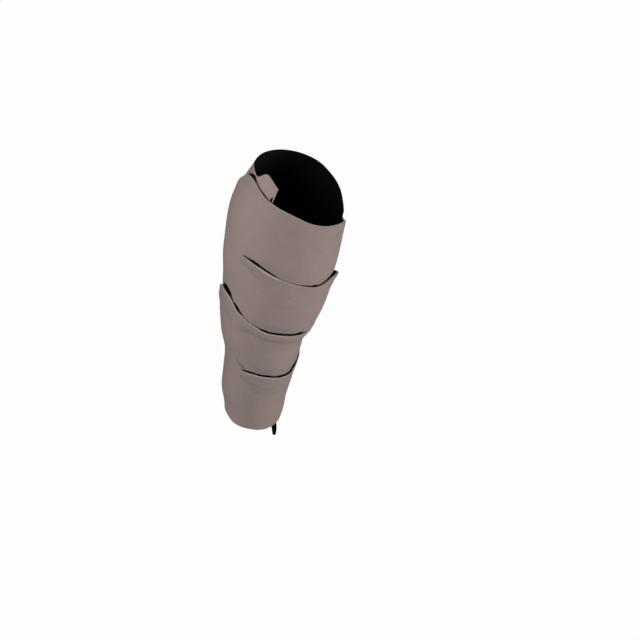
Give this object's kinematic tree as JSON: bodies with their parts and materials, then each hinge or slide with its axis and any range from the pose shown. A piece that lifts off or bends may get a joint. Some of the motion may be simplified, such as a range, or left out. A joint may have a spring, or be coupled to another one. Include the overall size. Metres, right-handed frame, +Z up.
{
  "type": "calf compression wrap",
  "caption": "Lower-leg compression wrap of soft laminate cloth, with lapped bands that cross the shin and fasten on hook pads at the back.",
  "frame": {"origin": "centre of the ankle opening at the level of the lower hem, where the leg passes through", "axes": "+Z up the leg from the ankle to the knee, -Y out of the shin, +X to the right as seen from the front"},
  "size_m": [0.1283, 0.1226, 0.3383],
  "materials": {
    "band_laminate": "brushed knit face, matte",
    "panel_laminate": "brushed knit face, matte",
    "hook_tape": "moulded hooks, matte"
  },
  "bodies": {
    "root": {"back_panel": "panel_laminate", "upper_wrap": "band_laminate", "lower_wrap": "band_laminate", "hook_pad_1": "hook_tape", "hook_pad_2": "hook_tape", "hook_pad_3": "hook_tape", "hook_pad_4": "hook_tape"}
  },
  "joints": []
}
